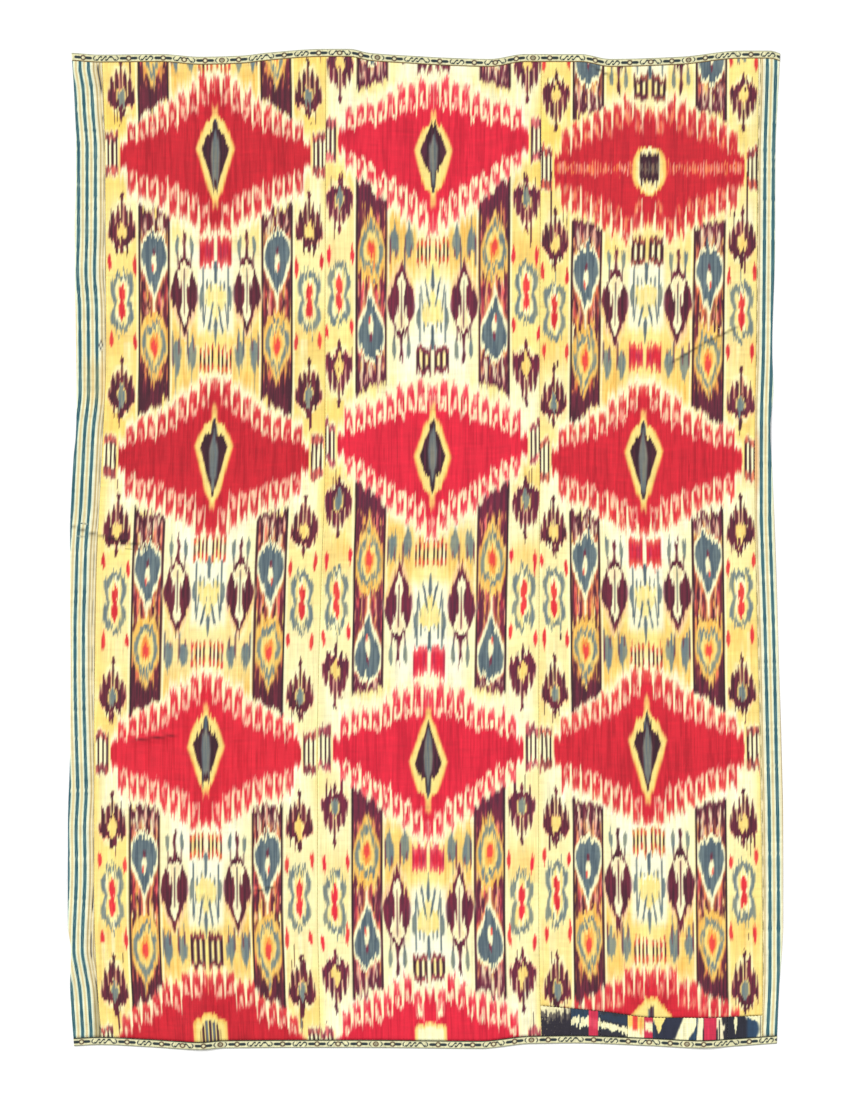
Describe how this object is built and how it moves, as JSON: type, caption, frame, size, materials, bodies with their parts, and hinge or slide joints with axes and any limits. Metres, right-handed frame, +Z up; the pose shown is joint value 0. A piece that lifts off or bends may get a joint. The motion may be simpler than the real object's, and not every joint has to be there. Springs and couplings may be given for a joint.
{
  "type": "ikat hanging",
  "caption": "Flat cloth hanging of three sewn ikat widths with striped side borders, narrow patterned end tapes and a pieced strip of ikat scraps along the lower right.",
  "frame": {"origin": "middle of the cloth's box, on the surface that it lies on", "axes": "+X to the right of the face, +Y to its top end along the loom widths, +Z up out of the face"},
  "size_m": [1.312, 1.8358, 0.0059],
  "materials": {
    "ikat_left": "warp-dyed silk and cotton, softly lustrous",
    "ikat_centre": "warp-dyed silk and cotton, softly lustrous",
    "ikat_right": "warp-dyed silk and cotton, softly lustrous",
    "striped_cotton": "matt striped cotton",
    "woven_tape": "matt patterned woven tape",
    "ikat_scraps": "warp-dyed silk and cotton, softly lustrous"
  },
  "bodies": {
    "root": {"panel_left": "ikat_left", "panel_centre": "ikat_centre", "panel_right": "ikat_right", "border_left": "striped_cotton", "border_right": "striped_cotton", "tape_top": "woven_tape", "tape_bottom": "woven_tape", "scrap_black_speckled": "ikat_scraps", "scrap_blue_crimson": "ikat_scraps", "scrap_blue_black": "ikat_scraps", "scrap_yellow_stripe": "ikat_scraps", "scrap_black_cream": "ikat_scraps", "scrap_crimson_block": "ikat_scraps", "scrap_black_slate": "ikat_scraps"}
  },
  "joints": []
}
